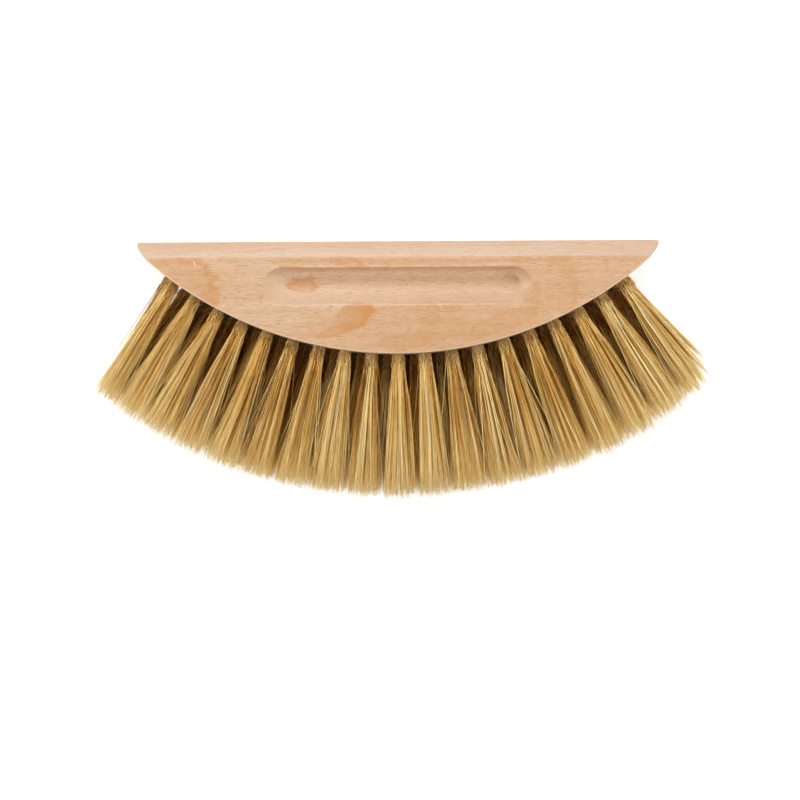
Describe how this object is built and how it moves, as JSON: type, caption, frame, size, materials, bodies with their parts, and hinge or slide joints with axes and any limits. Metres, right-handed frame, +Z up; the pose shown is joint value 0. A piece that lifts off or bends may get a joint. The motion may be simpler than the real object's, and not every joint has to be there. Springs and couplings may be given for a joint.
{
  "type": "hand brush",
  "caption": "Half-round hand brush: a curved beech block with a chamfered straight edge and finger grooves, filled along its arc with fanned rows of straw-coloured bristle tufts.",
  "frame": {"origin": "under the middle of the brush as it lies on its back face: the centre of its box, on the surface", "axes": "+X along the block's straight edge, to the right seen from the front; +Y from the bristle tips to the straight edge; +Z up, out of the front face"},
  "size_m": [0.3432, 0.1344, 0.036],
  "materials": {
    "beech": "pale plain beech, sanded smooth and unvarnished, with short dark flecks along the grain",
    "bristle": "straw-gold bristle with a soft sheen, paler at the trimmed tips"
  },
  "bodies": {
    "root": {"block": "beech", "tuft_front_01": "bristle", "tuft_front_02": "bristle", "tuft_front_03": "bristle", "tuft_front_04": "bristle", "tuft_front_05": "bristle", "tuft_front_06": "bristle", "tuft_front_07": "bristle", "tuft_front_08": "bristle", "tuft_front_09": "bristle", "tuft_front_10": "bristle", "tuft_front_11": "bristle", "tuft_front_12": "bristle", "tuft_front_13": "bristle", "tuft_front_14": "bristle", "tuft_front_15": "bristle", "tuft_front_16": "bristle", "tuft_front_17": "bristle", "tuft_front_18": "bristle", "tuft_front_19": "bristle", "tuft_middle_01": "bristle", "tuft_middle_02": "bristle", "tuft_middle_03": "bristle", "tuft_middle_04": "bristle", "tuft_middle_05": "bristle", "tuft_middle_06": "bristle", "tuft_middle_07": "bristle", "tuft_middle_08": "bristle", "tuft_middle_09": "bristle", "tuft_middle_10": "bristle", "tuft_middle_11": "bristle", "tuft_middle_12": "bristle", "tuft_middle_13": "bristle", "tuft_middle_14": "bristle", "tuft_middle_15": "bristle", "tuft_middle_16": "bristle", "tuft_middle_17": "bristle", "tuft_middle_18": "bristle", "tuft_middle_19": "bristle", "tuft_back_01": "bristle", "tuft_back_02": "bristle", "tuft_back_03": "bristle", "tuft_back_04": "bristle", "tuft_back_05": "bristle", "tuft_back_06": "bristle", "tuft_back_07": "bristle", "tuft_back_08": "bristle", "tuft_back_09": "bristle", "tuft_back_10": "bristle", "tuft_back_11": "bristle", "tuft_back_12": "bristle", "tuft_back_13": "bristle", "tuft_back_14": "bristle", "tuft_back_15": "bristle", "tuft_back_16": "bristle", "tuft_back_17": "bristle", "tuft_back_18": "bristle", "tuft_back_19": "bristle"}
  },
  "joints": []
}
